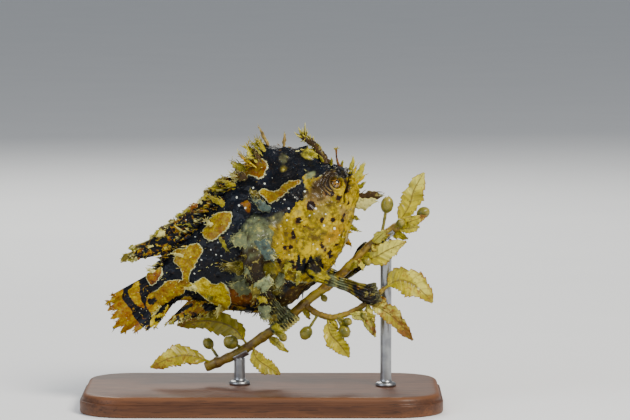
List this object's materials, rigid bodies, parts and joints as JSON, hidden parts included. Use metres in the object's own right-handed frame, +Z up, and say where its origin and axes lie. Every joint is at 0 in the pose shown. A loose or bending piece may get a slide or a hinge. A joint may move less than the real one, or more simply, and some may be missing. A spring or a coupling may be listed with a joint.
{
  "type": "sargassum fish model",
  "caption": "Life-size still model of a sargassum fish, its skin mottled and tasselled, gripping a cut length of floating weed that short rods hold over a flat base.",
  "frame": {"origin": "centre of the stand's underside", "axes": "+Z up, +X the way the fish's head points along the base, -Y the fish's right side"},
  "size_m": [0.09, 0.05, 0.0692],
  "materials": {
    "mottled_skin": "wet-looking skin, blue-black with white-rimmed orange and yellow patches, olive-yellow cheeks with dark spots",
    "fin_skin": "thin rayed skin, banded black and orange, glossy",
    "eye_gloss": "clear gloss over a golden iris with a dark pupil",
    "weed": "olive-brown stem, olive-yellow leaves and bladders, satin",
    "base_wood": "dark satin wood",
    "rod_steel": "brushed"
  },
  "bodies": {
    "root": {"head": "mottled_skin", "torso": "mottled_skin", "tail_root": "mottled_skin", "third_spine": "mottled_skin", "second_spine": "mottled_skin", "lure": "mottled_skin", "dorsal_fin": "fin_skin", "anal_fin": "fin_skin", "tail_fin": "fin_skin", "pectoral_fin_right": "fin_skin", "pectoral_fin_left": "fin_skin", "pelvic_fin_right": "fin_skin", "pelvic_fin_left": "fin_skin", "eye_right": "eye_gloss", "eye_left": "eye_gloss", "perch_weed": "weed", "stand_base": "base_wood", "stand_rod_low": "rod_steel", "stand_rod_high": "rod_steel"}
  },
  "joints": []
}
